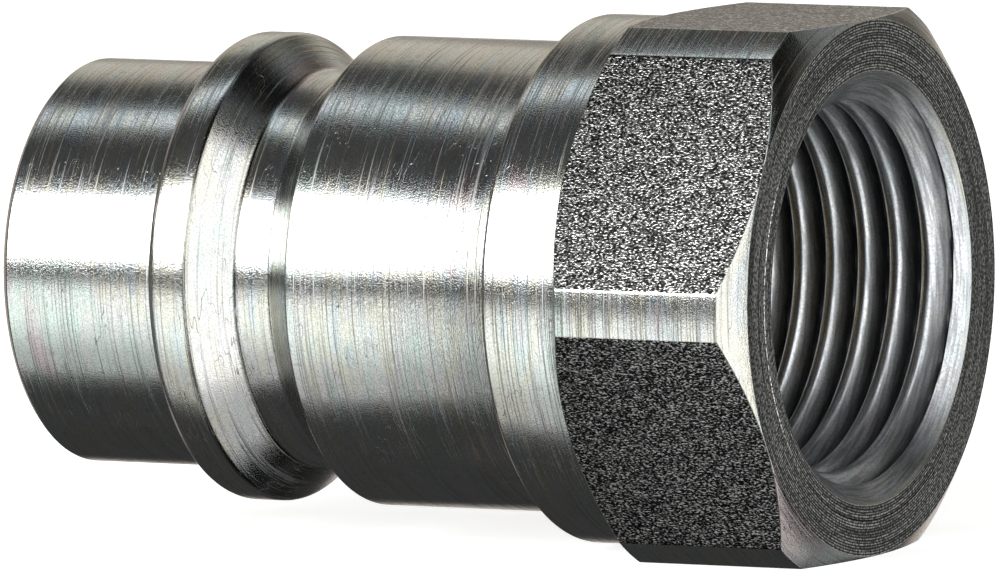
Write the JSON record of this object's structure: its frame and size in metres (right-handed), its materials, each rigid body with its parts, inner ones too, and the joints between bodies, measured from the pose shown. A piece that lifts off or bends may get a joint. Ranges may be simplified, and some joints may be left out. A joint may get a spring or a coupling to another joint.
{
  "type": "hydraulic quick coupler tip",
  "caption": "Male half of a ball-lock hydraulic quick coupler: ridged nose with a sprung poppet valve, round barrel and hexagon with a female pipe thread.",
  "frame": {"origin": "on the coupler's axis, halfway between the nose face and the port face", "axes": "+X along the axis, out of the threaded port; +Z square to a hexagon flat"},
  "size_m": [0.0443, 0.0298, 0.027],
  "materials": {
    "plated_steel": "bright zinc plate over fine turning marks; matt blasted hexagon flats",
    "valve_steel": "turned, zinc plated",
    "seal_rubber": "moulded nitrile",
    "valve_brass": "turned",
    "spring_steel": "drawn wire",
    "dark_steel": "phosphated"
  },
  "bodies": {
    "coupler_body": {"body": "plated_steel", "valve_guide": "valve_brass", "snap_ring": "dark_steel", "valve_spring": "spring_steel"},
    "poppet_valve": {"poppet": "valve_steel", "poppet_seal": "seal_rubber", "seal_retainer": "valve_brass"}
  },
  "joints": [
    {"name": "poppet_slide", "type": "slide", "parent": "coupler_body", "child": "poppet_valve", "axis": [1, 0, 0], "range_m": [0, 0.0045], "stiffness_N_per_m": 1140, "springref_m": -0.006, "deforming": ["valve_spring"]}
  ]
}
